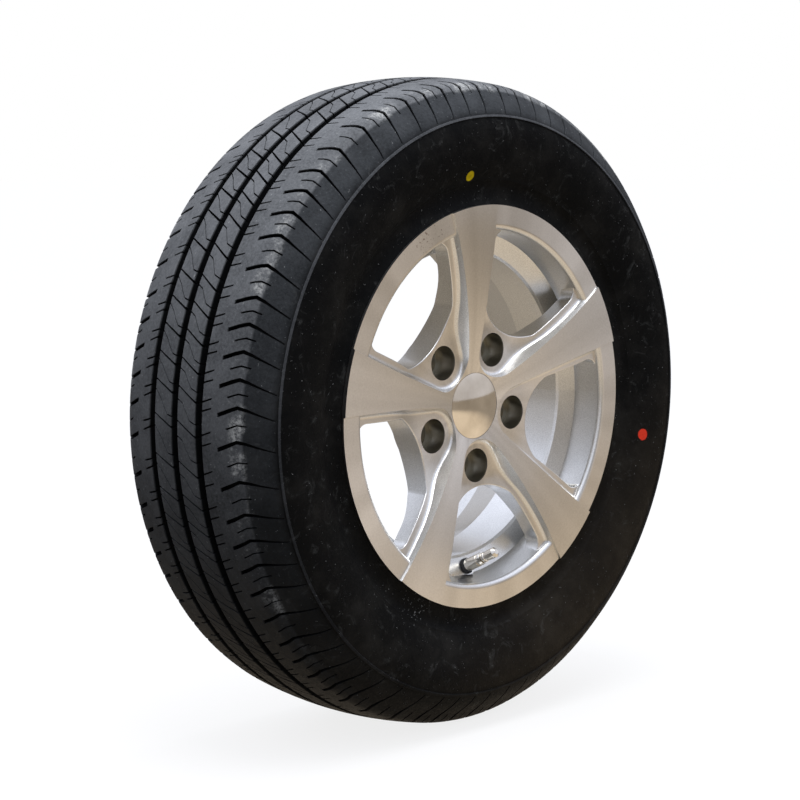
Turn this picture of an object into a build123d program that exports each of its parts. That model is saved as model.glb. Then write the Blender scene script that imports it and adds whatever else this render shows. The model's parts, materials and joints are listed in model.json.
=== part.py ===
import os
from math import atan2, cos, degrees, hypot, radians, sin, sqrt, tan

from build123d import *

os.makedirs("parts", exist_ok=True)

# Frame: the wheel turns about Y, its outer face looks towards -Y, Y = 0 is the hub mounting face

# Rim
bead_seat_diameter = 329.4
bead_seat_width = 20.0
bead_seat_taper = 5.0
bead_corner = 6.5
rim_width = 152.4
flange_height = 17.4
flange_edge = 2.5
lip_thickness = 9.8
lip_land = 17.0
lip_round = 5.0
inset = 30.0
rim_wall = 5.5
step_depth = 31.0
step_radius = 158.0
well_radius = 141.0
well_ramp = 7.5
well_corner = 2.0
well_length = 42.0
rear_ramp = 40.0
rear_drop = 4.0

# Star of spokes, standing proud of the disc that joins it to the rim
spoke_count = 5
first_spoke_angle = 96.45
spoke_root_half = 11.4
spoke_mid_half = 24.4
spoke_tip_half = 43.0
spoke_root_along = 48.5
spoke_mid_along = 115.0
spoke_draft = 20.0
spoke_foot_fillet = 4.0
star_hub_depth = 17.5
star_mid_depth = 3.6
star_mid_radius = 100.0
star_proud = 2.0
star_overlap = 3.6
valley_radius = 21.5

# Disc between and behind the spokes
pad_depth = 21.0
pad_radius = 66.0
ledge_mid_depth = 13.5
ledge_rim_depth = 4.6
ledge_rim_slope = 0.06
disc_rim_thickness = 14.0
disc_outer_depth = 22.5
disc_outer_radius = 140.0
disc_mid_depth = 33.8
disc_mid_radius = 104.0
disc_back_slope = 0.5
hub_pad_radius = 70.0
hub_pad_slope = 4.0
hub_pad_step = 7.0

# Windows between the spokes
window_arch_along = 134.0
window_arch_radius = 58.0
window_side_half = 23.2
window_side_along = 100.0
window_side_flare = 10.2
window_corner = 12.0
window_edge = 1.0

# Hub and wheel bolt holes
hub_bore = 66.6
hub_bore_depth = 18.0
hub_relief = 63.0
bolt_circle = 112.0
bolt_pocket = 31.2
bolt_pocket_depth = 20.0
bolt_hole = 15.0
bolt_seat_angle = 60.0
bolt_seat = 23.0

# Centre cap
cap_diameter = 59.6
cap_gap = 0.4
cap_flange = 3.4
cap_crown = 4.6
cap_wall = 2.2
cap_leg_radius = 26.6
cap_leg_wall = 2.0
cap_leg_count = 6
cap_leg_slot = 7.0
cap_hook = 1.8
cap_hook_length = 3.2
cap_land = 8.0
cap_fit = 0.3
cap_wire = 2.0
cap_ring_arc = 330.0

# Tyre
tyre_diameter = 592.0
tyre_width = 188.0
tread_half = 60.5
tread_drop = 5.0
shoulder_radius = 17.5
shoulder_exit = 46.0
sidewall_radius = 43.5
lower_sidewall_rise = 17.0
lower_sidewall_draw = 12.7
sidewall_wall = 7.0
tread_wall = 14.0
groove_width = 7.8
groove_depth = 7.5
groove_spacing = 29.5
ridge_angle = 67.7
ridge_round = 2.0
ridge_proud = 1.0
bead_gap = 0.2
bead_width = 17.0
bead_wall = 9.0

# Snap-in valve, measured along its own axis from its seat on the rim
valve_angle = -87.0
valve_place = 0.43
valve_hole = 11.5
valve_spot = 18.0
valve_spot_depth = 0.4
valve_back_spot = 0.8
valve_foot = 9.0
valve_foot_radius = 8.2
valve_foot_end = 6.0
valve_collar_radius = 7.4
valve_collar = 1.6
valve_shoulder = 2.4
sleeve_radius = 5.9
sleeve_wall = 0.5
sleeve_length = 21.0
sleeve_end = 1.2
sleeve_bead = 0.35
sleeve_bead_length = 1.6
rubber_fit = 0.05

# Brass stem and its core
stem_radius = 3.85
stem_waist = 2.9
stem_bore = 1.9
core_bore = 2.6
stem_length = 14.0
core_length = 9.0
core_fit = 0.1
barrel_radius = 1.75
barrel_length = 7.0
barrel_wall = 0.4
barrel_lip = 0.6
core_seat_length = 2.0
pin_radius = 0.45
pin_proud = 0.5
pin_head_length = 0.6
pin_hole = 0.9
cup_radius = 1.45
cup_length = 1.6
cup_wall = 0.3
seal_length = 1.0
spring_radius = 1.15
spring_wire = 0.3
spring_turns = 4
spring_room = 4.4

# Screw cap
cap_nut_radius = 4.75
cap_nut_bore = 4.15
cap_nut_dome = 2.2
cap_nut_waist = 0.5
cap_nut_waist_length = 3.0
cap_nut_roof = 2.4
cap_seal_length = 1.2
cap_seal_clearance = 0.3
cap_seal_fit = 0.1
sleeve_clearance = 0.6

# Shared places
bead_radius = bead_seat_diameter / 2
flange_radius = bead_radius + flange_height
lip_y = inset - rim_width / 2 - lip_thickness
back_lip_y = inset + rim_width / 2 + lip_thickness
lip_inner_radius = flange_radius - lip_land - lip_round
spoke_step = 360 / spoke_count
bolt_radius = bolt_circle / 2


# A plane across the wheel axis, looking in from outside, at a depth behind the lip
def face_plane(depth):
    return Plane(origin=(0, lip_y + depth, 0), x_dir=(1, 0, 0), z_dir=(0, -1, 0))


# A point on such a plane: so far along a line at this angle, and so far across it
def on_line(angle, along, across):
    a = radians(angle)
    return (along * cos(a) + across * sin(a), along * sin(a) - across * cos(a))


spoke_angles = [first_spoke_angle - i * spoke_step for i in range(spoke_count)]
window_angles = [angle - spoke_step / 2 for angle in spoke_angles]
star_floor = pad_depth + star_overlap
star_height = star_floor + star_proud
spoke_tip_along = flange_radius + star_height * tan(radians(spoke_draft)) + lip_round

# Window outline, in a frame whose X runs out along the window's middle
half_step = radians(spoke_step / 2)
side_angle = half_step - radians(window_side_flare)
side_point = Vector(window_side_along, -window_side_half).rotate(Axis.Z, spoke_step / 2)
side_run = Vector(cos(side_angle), sin(side_angle))
window_rim_radius = lip_inner_radius + window_edge


# Where the window's side crosses a circle on its middle line, nearer or further from the hub
def side_crossing(centre, radius, sign):
    offset = side_point - Vector(centre, 0)
    along = offset.dot(side_run)
    reach = sqrt(along**2 - offset.dot(offset) + radius**2)
    return side_point + side_run * (sign * reach - along)


# The same point on the other side of the window
def flip(point):
    return Vector(point.X, -point.Y)


arch_end = side_crossing(window_arch_along, window_arch_radius, -1)
rim_end = side_crossing(0, window_rim_radius, 1)


# Edges on the outer side of the disc lie ahead of the disc's middle
def on_front(edge):
    place = edge.center()
    radius = hypot(place.X, place.Z)
    depth = pad_depth + star_overlap if radius < star_mid_radius else ledge_mid_depth
    return place.Y - lip_y < depth and radius < lip_inner_radius


# Rim section: the drop well's outer ramp carries the valve
ramp_run = Vector(well_radius + well_corner - step_radius, well_ramp)
ramp_normal = Vector(ramp_run.Y, -ramp_run.X).normalized()
step_in = Vector(step_radius, lip_y + step_depth)
well_in = step_in + ramp_run
step_out = step_in + ramp_normal * rim_wall
well_out = well_in + ramp_normal * rim_wall
well_back_y = well_in.Y + well_length
rear_radius = bead_radius - rear_drop
rear_y = well_back_y + rear_ramp
seat_end_radius = bead_radius - bead_seat_width * tan(radians(bead_seat_taper))

# Cap and valve seats
cap_land_y = lip_y + star_hub_depth + cap_flange
valve_wall = rim_wall - valve_spot_depth - valve_back_spot
valve_point = step_in + ramp_run * valve_place + ramp_normal * valve_spot_depth
valve_out = Vector(cos(radians(valve_angle)), 0, sin(radians(valve_angle)))
valve_along = Vector(tuple(valve_out * -ramp_normal.X)) + Vector(0, -ramp_normal.Y, 0)
valve_across = Vector(-valve_out.Z, 0, valve_out.X)
valve_origin = valve_out * valve_point.X + Vector(0, valve_point.Y, 0)
valve_seat = Plane(origin=valve_origin, x_dir=valve_across, z_dir=valve_along)
valve_section = Plane(origin=valve_origin, x_dir=valve_across, z_dir=valve_across.cross(valve_along))
valve_axis = Axis(valve_origin, valve_along)
sleeve_start = valve_collar + valve_shoulder

# Tyre section, in a frame whose X runs out from the axis and whose Y runs across the tread
tyre_radius = tyre_diameter / 2
tread_edge = Vector(tyre_radius - tread_drop, tread_half)
tread_middle = (tyre_radius - tread_drop / 4, tread_half / 2)
tread_lean = 2 * degrees(atan2(tread_drop, tread_half))
shoulder_centre = tread_edge - Vector(shoulder_radius, 0).rotate(Axis.Z, tread_lean)
shoulder_turn = (tread_lean + shoulder_exit) / 2
shoulder_middle = shoulder_centre + Vector(shoulder_radius, 0).rotate(Axis.Z, shoulder_turn)
shoulder_end = shoulder_centre + Vector(shoulder_radius, 0).rotate(Axis.Z, shoulder_exit)
sidewall_top = tyre_width / 2 - sidewall_radius * (1 - sin(radians(shoulder_exit)))
sidewall_run = (sidewall_top - shoulder_end.Y) / cos(radians(shoulder_exit))
sidewall_start = shoulder_end + Vector(0, sidewall_run).rotate(Axis.Z, shoulder_exit)
sidewall_centre = sidewall_start.X - sidewall_radius * cos(radians(shoulder_exit))
sidewall_hub = Vector(sidewall_centre, tyre_width / 2 - sidewall_radius)
sidewall_middle = sidewall_hub + Vector(sidewall_radius, 0).rotate(Axis.Z, (shoulder_exit + 90) / 2)
lower_end = Vector(flange_radius + lower_sidewall_rise, tyre_width / 2 - lower_sidewall_draw)
ridge_reach = sidewall_radius - ridge_round + ridge_proud
ridge_middle = sidewall_hub + Vector(ridge_reach, 0).rotate(Axis.Z, ridge_angle)
toe_radius = bead_radius + bead_gap - bead_width * tan(radians(bead_seat_taper))

# Window outline: round towards the hub, straight beside the spokes, open to the rim
with BuildSketch() as window:
    with BuildLine():
        Polyline(arch_end, rim_end)
        ThreePointArc(rim_end, (window_rim_radius, 0), flip(rim_end))
        Polyline(flip(rim_end), flip(arch_end))
        ThreePointArc(flip(arch_end), (window_arch_along - window_arch_radius, 0), arch_end)
    make_face()
    fillet(window.vertices(), radius=window_corner)

# Wheel, one casting
with BuildPart() as wheel:
    # Star outline with a round valley about each bolt hole, drawn in towards the face
    with BuildSketch(face_plane(star_floor)):
        with BuildLine():
            for angle, valley_angle in zip(spoke_angles, window_angles):
                root = on_line(angle, spoke_root_along, spoke_root_half)
                next_root = on_line(angle - spoke_step, spoke_root_along, -spoke_root_half)
                valley = on_line(valley_angle, bolt_radius - valley_radius, 0)
                tips = [on_line(angle, spoke_tip_along, side * spoke_tip_half) for side in (-1, 1)]
                for side, tip in zip((-1, 1), tips):
                    start = on_line(angle, spoke_root_along, side * spoke_root_half)
                    middle = on_line(angle, spoke_mid_along, side * spoke_mid_half)
                    ThreePointArc(start, middle, tip)
                Line(*tips)
                ThreePointArc(root, valley, next_root)
        make_face()
    extrude(amount=star_height, taper=spoke_draft)

    # Dished face of the star, from the hub out to just proud of the lip
    hub_edge = (cap_diameter / 2, lip_y + star_hub_depth)
    star_mid = (star_mid_radius, lip_y + star_mid_depth)
    star_rim = (flange_radius, lip_y - star_proud)
    with BuildSketch(Plane.XY):
        with BuildLine():
            Line((0, lip_y + star_hub_depth), hub_edge)
            ThreePointArc(hub_edge, star_mid, star_rim)
            Polyline(
                star_rim,
                (flange_radius, lip_y + ledge_rim_depth + star_overlap),
                (star_mid_radius, lip_y + ledge_mid_depth + star_overlap),
                (pad_radius, lip_y + star_floor),
                (0, lip_y + star_floor),
                (0, lip_y + star_hub_depth),
            )
        make_face()
    revolve(axis=Axis.Y, mode=Mode.INTERSECT)

    # Disc: flat bolt pad, ledges rising to the lip, thick hub pad behind
    pad_edge = (pad_radius, lip_y + pad_depth)
    ledge_mid = (star_mid_radius, lip_y + ledge_mid_depth)
    ledge_rim = (flange_radius, lip_y + ledge_rim_depth)
    back_outer = (disc_outer_radius, lip_y + disc_outer_depth)
    back_mid = (disc_mid_radius, lip_y + disc_mid_depth)
    back_hub = (hub_pad_radius + hub_pad_slope, -hub_pad_step)
    with BuildSketch(Plane.XY):
        with BuildLine():
            Line((0, lip_y + pad_depth), pad_edge)
            Spline(pad_edge, ledge_mid, ledge_rim, tangents=[(1, 0), (1, -ledge_rim_slope)])
            Polyline(
                ledge_rim,
                (flange_radius, lip_y + ledge_rim_depth + disc_rim_thickness),
                back_outer,
            )
            Spline(back_outer, back_mid, back_hub, tangents=[(-1, 0), (-1, disc_back_slope)])
            Polyline(back_hub, (hub_pad_radius, 0), (0, 0), (0, lip_y + pad_depth))
        make_face()
    revolve(axis=Axis.Y)
    fillet(wheel.edges(Select.NEW), radius=spoke_foot_fillet)

    # Windows, with their front edges rounded
    with BuildSketch(face_plane(-lip_thickness)):
        with PolarLocations(0, spoke_count, start_angle=window_angles[0]):
            add(window.sketch)
    extrude(amount=lip_y - back_lip_y, mode=Mode.SUBTRACT)
    rims = wheel.edges(Select.NEW).filter_by(on_front)
    fillet(rims, radius=window_edge)

    # Rim: lip, drop well and bead seats in one closed section
    with BuildSketch(Plane.XY):
        with BuildLine():
            Polyline((flange_radius, lip_y), (lip_inner_radius + lip_round, lip_y))
            RadiusArc(
                (lip_inner_radius + lip_round, lip_y),
                (lip_inner_radius, lip_y + lip_round),
                lip_round,
            )
            Polyline(
                (lip_inner_radius, lip_y + lip_round),
                step_in,
                well_in,
                (well_radius, well_in.Y + well_corner),
                (well_radius, well_back_y),
                (rear_radius - rim_wall, rear_y),
                (lip_inner_radius, back_lip_y - lip_round),
                (lip_inner_radius + lip_round, back_lip_y),
                (flange_radius, back_lip_y),
                (flange_radius, back_lip_y - flange_edge),
                (bead_radius + bead_corner, back_lip_y - lip_thickness),
                (bead_radius, back_lip_y - lip_thickness - bead_corner),
                (seat_end_radius, back_lip_y - lip_thickness - bead_seat_width),
                (rear_radius, rear_y + rim_wall),
                (well_radius + rim_wall, well_back_y),
                (well_radius + rim_wall, well_out.Y),
                step_out,
                (seat_end_radius, lip_y + lip_thickness + bead_seat_width),
                (bead_radius, lip_y + lip_thickness + bead_corner),
                (bead_radius + bead_corner, lip_y + lip_thickness),
                (flange_radius, lip_y + flange_edge),
                (flange_radius, lip_y),
            )
        make_face()
    revolve(axis=Axis.Y)

    # The disc's edge is cleared away where the tyre sits
    with BuildSketch(Plane.XY):
        with BuildLine():
            Polyline(
                (flange_radius + lip_round, lip_y + flange_edge),
                (flange_radius, lip_y + flange_edge),
                (bead_radius + bead_corner, lip_y + lip_thickness),
                (bead_radius, lip_y + lip_thickness + bead_corner),
                (seat_end_radius, lip_y + lip_thickness + bead_seat_width),
                (flange_radius + lip_round, lip_y + lip_thickness + bead_seat_width),
                close=True,
            )
        make_face()
    revolve(axis=Axis.Y, mode=Mode.SUBTRACT)

    # Hub bore from behind, a relief for the cap's hooks, the land they snap over and the cap's recess
    with BuildSketch(face_plane(-lip_y)):
        Circle(hub_bore / 2)
    extrude(amount=hub_bore_depth, mode=Mode.SUBTRACT)
    with BuildSketch(face_plane(-lip_y)):
        Circle(hub_relief / 2)
    extrude(amount=-(cap_land_y + cap_land), mode=Mode.SUBTRACT)
    with BuildSketch(face_plane(0)):
        Circle(cap_leg_radius + cap_fit)
    extrude(amount=lip_y, mode=Mode.SUBTRACT)
    with BuildSketch(face_plane(0)):
        Circle(cap_diameter / 2 + cap_gap)
    extrude(amount=lip_y - cap_land_y, mode=Mode.SUBTRACT)

    # Bolt holes: a round pocket, a cone for the bolt's seat and a clear hole
    with BuildSketch(face_plane(0)):
        with PolarLocations(bolt_radius, spoke_count, start_angle=window_angles[0]):
            Circle(bolt_pocket / 2)
    extrude(amount=-(pad_depth + bolt_pocket_depth), mode=Mode.SUBTRACT)
    with Locations(face_plane(pad_depth + bolt_pocket_depth)):
        with PolarLocations(bolt_radius, spoke_count, start_angle=window_angles[0]):
            CounterSinkHole(bolt_hole / 2, bolt_seat / 2, counter_sink_angle=bolt_seat_angle)

    # Valve hole through the ramp, spot-faced on both sides
    with BuildSketch(valve_seat):
        Circle(valve_hole / 2)
    extrude(amount=rim_wall, both=True, mode=Mode.SUBTRACT)
    with BuildSketch(valve_seat):
        Circle(valve_spot / 2)
    extrude(amount=sleeve_start + sleeve_length, mode=Mode.SUBTRACT)
    with BuildSketch(valve_seat.offset(-valve_wall)):
        Circle(valve_spot / 2)
    extrude(amount=-valve_foot, mode=Mode.SUBTRACT)
wheel.part.label = "wheel"
export_step(wheel.part, "parts/wheel.step")

# Tyre: half a section, from the crown to the bead and back inside, mirrored and turned
with BuildPart() as tyre:
    with BuildSketch(Plane((0, inset, 0))):
        with BuildLine():
            ThreePointArc((tyre_radius, 0), tread_middle, tread_edge)
            ThreePointArc(tread_edge, shoulder_middle, shoulder_end)
            Line(shoulder_end, sidewall_start)
            ThreePointArc(sidewall_start, sidewall_middle, (sidewall_centre, tyre_width / 2))
            TangentArc((sidewall_centre, tyre_width / 2), lower_end, tangent=(-1, 0))
            Polyline(
                lower_end,
                (flange_radius + bead_gap, rim_width / 2 + lip_thickness - flange_edge - bead_gap),
                (bead_radius + bead_corner, rim_width / 2 - bead_gap),
                (bead_radius + bead_gap, rim_width / 2 - bead_corner),
                (toe_radius, rim_width / 2 - bead_width),
                (toe_radius + bead_wall, rim_width / 2 - bead_width),
                (sidewall_centre, tyre_width / 2 - sidewall_wall),
                (tyre_radius - tread_drop - tread_wall, tread_half),
                (tyre_radius - tread_wall, 0),
                (tyre_radius, 0),
            )
        make_face()
        with Locations(ridge_middle):
            Circle(ridge_round)
        mirror(about=Plane.XZ)
        with Locations(*[(tyre_radius, i * groove_spacing) for i in (-1, 0, 1)]):
            Rectangle(2 * groove_depth, groove_width, mode=Mode.SUBTRACT)
    revolve(axis=Axis.Y)
tyre.part.label = "tyre"
export_step(tyre.part, "parts/tyre.step")

# Centre cap: a shallow dome on a ring of snap legs hooked behind the land
cap_rim_y = lip_y + star_hub_depth
land_end_y = cap_land_y + cap_land
leg_inner = cap_leg_radius - cap_leg_wall
with BuildPart() as centre_cap:
    with BuildSketch(Plane.XY):
        with BuildLine():
            ThreePointArc(
                (0, cap_rim_y - cap_crown),
                (cap_diameter / 4, cap_rim_y - cap_crown * 3 / 4),
                (cap_diameter / 2, cap_rim_y),
            )
            Polyline(
                (cap_diameter / 2, cap_rim_y),
                (cap_diameter / 2, cap_land_y),
                (cap_leg_radius, cap_land_y),
                (cap_leg_radius, land_end_y),
                (cap_leg_radius + cap_hook, land_end_y),
                (cap_leg_radius, land_end_y + cap_hook_length),
                (leg_inner, land_end_y + cap_hook_length),
                (leg_inner, cap_rim_y + cap_wall),
                (0, cap_rim_y - cap_crown + cap_wall),
                (0, cap_rim_y - cap_crown),
            )
        make_face()
    revolve(axis=Axis.Y)
    with BuildSketch(Plane((0, cap_land_y + cap_wall, 0), x_dir=(1, 0, 0), z_dir=(0, 1, 0))):
        with PolarLocations(cap_leg_radius, cap_leg_count):
            Rectangle(cap_leg_wall * 4, cap_leg_slot)
    extrude(amount=cap_land + cap_hook_length, mode=Mode.SUBTRACT)
centre_cap.part.label = "centre_cap"
export_step(centre_cap.part, "parts/centre_cap.step")

# Spring ring that keeps the legs spread
with BuildPart() as cap_ring:
    with BuildSketch(Plane.XY):
        with Locations((leg_inner - cap_wire / 2, land_end_y)):
            Rectangle(cap_wire, cap_wire)
    revolve(axis=Axis.Y, revolution_arc=cap_ring_arc)
cap_ring.part.label = "cap_ring"
export_step(cap_ring.part, "parts/cap_ring.step")


# A half section to turn about the valve, drawn as radius and height above the seat
def valve_outline(*points):
    with BuildSketch(valve_section, mode=Mode.PRIVATE) as outline:
        with BuildLine():
            Polyline(*points, close=True)
        make_face()
    return outline.sketch


# Heights along the valve
foot_height = -valve_wall - valve_foot
sleeve_top = sleeve_start + sleeve_length
stem_top = sleeve_top + stem_length
plug_top = stem_top - pin_proud
plug_foot = plug_top - core_length
barrel_foot = plug_foot - core_seat_length - barrel_length
spring_foot = barrel_foot + barrel_lip
spring_head = spring_foot + spring_room
seat_foot = plug_foot - core_seat_length
rubber_radius = sleeve_radius - sleeve_wall - rubber_fit
plug_radius = core_bore - core_fit

# Rubber valve body: foot inside the rim, neck in the hole, collar outside
with BuildPart() as valve_body:
    add(
        valve_outline(
            (stem_waist, foot_height),
            (valve_foot_end, foot_height),
            (valve_foot_radius, -valve_wall),
            (valve_hole / 2, -valve_wall),
            (valve_hole / 2, 0),
            (valve_collar_radius, 0),
            (valve_collar_radius, valve_collar),
            (rubber_radius, sleeve_start),
            (rubber_radius, sleeve_top - sleeve_end),
            (stem_waist, sleeve_top - sleeve_end),
        )
    )
    revolve(axis=valve_axis)
valve_body.part.label = "valve_body"
export_step(valve_body.part, "parts/valve_body.step")

# Bright sleeve over the rubber, ringed near its end
ring_foot = sleeve_top - sleeve_end - 2 * sleeve_bead_length
with BuildPart() as valve_sleeve:
    add(
        valve_outline(
            (sleeve_radius - sleeve_wall, sleeve_start),
            (sleeve_radius, sleeve_start),
            (sleeve_radius, ring_foot - sleeve_bead_length),
            (sleeve_radius - sleeve_bead, ring_foot - sleeve_bead_length),
            (sleeve_radius - sleeve_bead, ring_foot),
            (sleeve_radius, ring_foot),
            (sleeve_radius, ring_foot + sleeve_bead_length),
            (sleeve_radius - sleeve_bead, sleeve_top),
            (stem_radius, sleeve_top),
            (stem_radius, sleeve_top - sleeve_end),
            (sleeve_radius - sleeve_wall, sleeve_top - sleeve_end),
        )
    )
    revolve(axis=valve_axis)
valve_sleeve.part.label = "valve_sleeve"
export_step(valve_sleeve.part, "parts/valve_sleeve.step")

# Brass stem, stepped inside for the core
with BuildPart() as valve_stem:
    add(
        valve_outline(
            (stem_bore, foot_height),
            (stem_waist, foot_height),
            (stem_waist, sleeve_top - sleeve_end),
            (stem_radius, sleeve_top - sleeve_end),
            (stem_radius, stem_top),
            (core_bore, stem_top),
            (core_bore, plug_foot),
            (stem_bore, seat_foot),
        )
    )
    revolve(axis=valve_axis)
valve_stem.part.label = "valve_stem"
export_step(valve_stem.part, "parts/valve_stem.step")

# Core: threaded plug over a thin barrel that holds the spring
with BuildPart() as core_housing:
    add(
        valve_outline(
            (pin_hole, barrel_foot),
            (barrel_radius, barrel_foot),
            (barrel_radius, plug_foot),
            (plug_radius, plug_foot),
            (plug_radius, plug_top),
            (pin_hole, plug_top),
            (pin_hole, plug_foot),
            (barrel_radius - barrel_wall, plug_foot),
            (barrel_radius - barrel_wall, spring_foot),
            (pin_hole, spring_foot),
        )
    )
    revolve(axis=valve_axis)
core_housing.part.label = "core_housing"
export_step(core_housing.part, "parts/core_housing.step")

# Cone gasket between the core and the stem's seat
with BuildPart() as core_gasket:
    add(
        valve_outline(
            (barrel_radius, seat_foot),
            (stem_bore, seat_foot),
            (core_bore, plug_foot),
            (barrel_radius, plug_foot),
        )
    )
    revolve(axis=valve_axis)
core_gasket.part.label = "core_gasket"
export_step(core_gasket.part, "parts/core_gasket.step")

# Core pin with its head and the collar that the spring lifts
with BuildPart() as core_pin:
    add(
        valve_outline(
            (0, barrel_foot - seal_length - cup_length),
            (pin_radius, barrel_foot - seal_length - cup_length),
            (pin_radius, spring_head),
            (spring_radius, spring_head),
            (spring_radius, spring_head + pin_head_length),
            (pin_radius, spring_head + pin_head_length),
            (pin_radius, stem_top),
            (0, stem_top),
        )
    )
    revolve(axis=valve_axis)
core_pin.part.label = "core_pin"
export_step(core_pin.part, "parts/core_pin.step")

# Seal washer that closes on the barrel's foot, and the cup that carries it
with BuildPart() as core_seal:
    add(
        valve_outline(
            (pin_radius, barrel_foot - seal_length),
            (cup_radius - cup_wall, barrel_foot - seal_length),
            (cup_radius - cup_wall, barrel_foot),
            (pin_radius, barrel_foot),
        )
    )
    revolve(axis=valve_axis)
core_seal.part.label = "core_seal"
export_step(core_seal.part, "parts/core_seal.step")

with BuildPart() as core_cup:
    add(
        valve_outline(
            (pin_radius, barrel_foot - seal_length - cup_length),
            (cup_radius, barrel_foot - seal_length - cup_length),
            (cup_radius, barrel_foot - seal_length / 2),
            (cup_radius - cup_wall, barrel_foot - seal_length / 2),
            (cup_radius - cup_wall, barrel_foot - seal_length),
            (pin_radius, barrel_foot - seal_length),
        )
    )
    revolve(axis=valve_axis)
core_cup.part.label = "core_cup"
export_step(core_cup.part, "parts/core_cup.step")

# Core spring between the barrel's lip and the pin's collar
spring_pitch = (spring_room - spring_wire) / spring_turns
spring_centre = valve_seat.offset(spring_foot + spring_wire / 2).origin
with BuildPart() as core_spring:
    with BuildLine() as coil:
        Helix(
            spring_pitch,
            spring_pitch * spring_turns,
            spring_radius - spring_wire / 2,
            center=spring_centre,
            direction=valve_along,
        )
    with BuildSketch(Plane(coil.line @ 0, x_dir=coil.line @ 0 - spring_centre, z_dir=coil.line % 0)):
        Rectangle(spring_wire, spring_wire)
    sweep(path=coil.line, is_frenet=True)
core_spring.part.label = "core_spring"
export_step(core_spring.part, "parts/core_spring.step")

# Screw cap with a waist, a domed end and a seal disc under its roof
nut_foot = sleeve_top + sleeve_clearance
nut_roof = stem_top + cap_seal_clearance + cap_seal_length + cap_seal_fit
nut_top = nut_roof + cap_nut_roof
with BuildPart() as valve_cap:
    add(
        valve_outline(
            (cap_nut_bore, nut_foot),
            (cap_nut_radius, nut_foot),
            (cap_nut_radius, nut_foot + cap_nut_waist_length),
            (cap_nut_radius - cap_nut_waist, nut_foot + cap_nut_waist_length + cap_nut_waist),
            (cap_nut_radius - cap_nut_waist, nut_foot + 2 * cap_nut_waist_length),
            (cap_nut_radius, nut_foot + 2 * cap_nut_waist_length + cap_nut_waist),
            (cap_nut_radius, nut_top - cap_nut_dome),
            (cap_nut_radius - cap_nut_dome, nut_top),
            (0, nut_top),
            (0, nut_roof),
            (cap_nut_bore, nut_roof),
        )
    )
    revolve(axis=valve_axis)
valve_cap.part.label = "valve_cap"
export_step(valve_cap.part, "parts/valve_cap.step")

with BuildPart() as valve_cap_seal:
    with BuildSketch(valve_seat.offset(stem_top + cap_seal_clearance)):
        Circle(cap_nut_bore - cap_seal_fit)
    extrude(amount=cap_seal_length)
valve_cap_seal.part.label = "valve_cap_seal"
export_step(valve_cap_seal.part, "parts/valve_cap_seal.step")
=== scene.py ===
import json
import math

import bpy
import numpy as np
from mathutils import Matrix


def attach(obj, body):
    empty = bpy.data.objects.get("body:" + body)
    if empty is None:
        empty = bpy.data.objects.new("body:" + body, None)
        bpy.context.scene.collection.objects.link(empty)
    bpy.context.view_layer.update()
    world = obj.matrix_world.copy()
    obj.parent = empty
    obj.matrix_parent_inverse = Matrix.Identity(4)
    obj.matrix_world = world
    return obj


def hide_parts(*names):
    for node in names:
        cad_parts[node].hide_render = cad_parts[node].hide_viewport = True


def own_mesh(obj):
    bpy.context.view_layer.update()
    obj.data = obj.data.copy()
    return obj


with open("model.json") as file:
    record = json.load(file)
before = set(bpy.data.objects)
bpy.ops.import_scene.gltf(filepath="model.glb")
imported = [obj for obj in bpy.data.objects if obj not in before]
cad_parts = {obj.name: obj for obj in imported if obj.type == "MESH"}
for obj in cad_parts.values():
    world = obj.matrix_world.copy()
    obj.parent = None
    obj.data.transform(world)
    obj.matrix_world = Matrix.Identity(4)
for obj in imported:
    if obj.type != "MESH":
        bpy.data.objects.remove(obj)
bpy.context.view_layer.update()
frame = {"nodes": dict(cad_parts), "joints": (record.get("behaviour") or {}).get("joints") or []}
scene = bpy.context.scene
nodes = frame["nodes"]
mm = 0.001  # the sizes below are in millimetres, the scene is in metres
smooth = {"interpolation_type": "SMOOTHSTEP"}  # settings that many nodes share
asColour = {"data_type": "RGBA"}
print("frame loaded:", len(nodes), "nodes")


# colours, nodes and meshes
def linear(hexColour):
    # sRGB hex to the linear values that a shader socket takes
    parts = [int(hexColour[i:i + 2], 16) / 255 for i in (1, 3, 5)]
    return tuple(p / 12.92 if p <= 0.04045 else ((p + 0.055) / 1.055) ** 2.4 for p in parts) + (1.0,)


def newMaterial(name):
    mat = bpy.data.materials.new(name)
    mat.use_nodes = True
    mat.node_tree.nodes.clear()
    return mat


def addNode(mat, kind, inputs=(), **settings):
    # a node with its settings; its inputs, in order or by key, are plain values or sockets to link from
    # Map Range takes its value, the range in and the range out
    # a colour Mix takes its share as 0 and its colours as 6 and 7, and gives the result as output 2
    node = mat.node_tree.nodes.new(kind)
    for key, value in settings.items():
        setattr(node, key, value)
    for key, value in inputs.items() if isinstance(inputs, dict) else enumerate(inputs):
        if isinstance(value, bpy.types.NodeSocket):
            mat.node_tree.links.new(value, node.inputs[key])
        else:
            node.inputs[key].default_value = value
    return node


def meshPiece(name, points, faces, smoothAngle):
    # points (n, 3) in metres and lists of their numbers become an object at the origin, smooth up to an angle
    mesh = bpy.data.meshes.new(name)
    mesh.from_pydata(points.tolist(), [], faces)
    mesh.shade_smooth()
    mesh.set_sharp_from_angle(angle=math.radians(smoothAngle))
    obj = bpy.data.objects.new(name, mesh)
    scene.collection.objects.link(obj)
    return obj


def ringFaces(rows, columns):
    # quads of a grid that closes on itself both ways
    i, j = np.meshgrid(np.arange(rows), np.arange(columns), indexing="ij")
    nextI, nextJ = (i + 1) % rows, (j + 1) % columns
    quads = [i * columns + j, i * columns + nextJ, nextI * columns + nextJ, nextI * columns + j]
    return np.stack(quads, -1).reshape(-1, 4)


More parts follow.
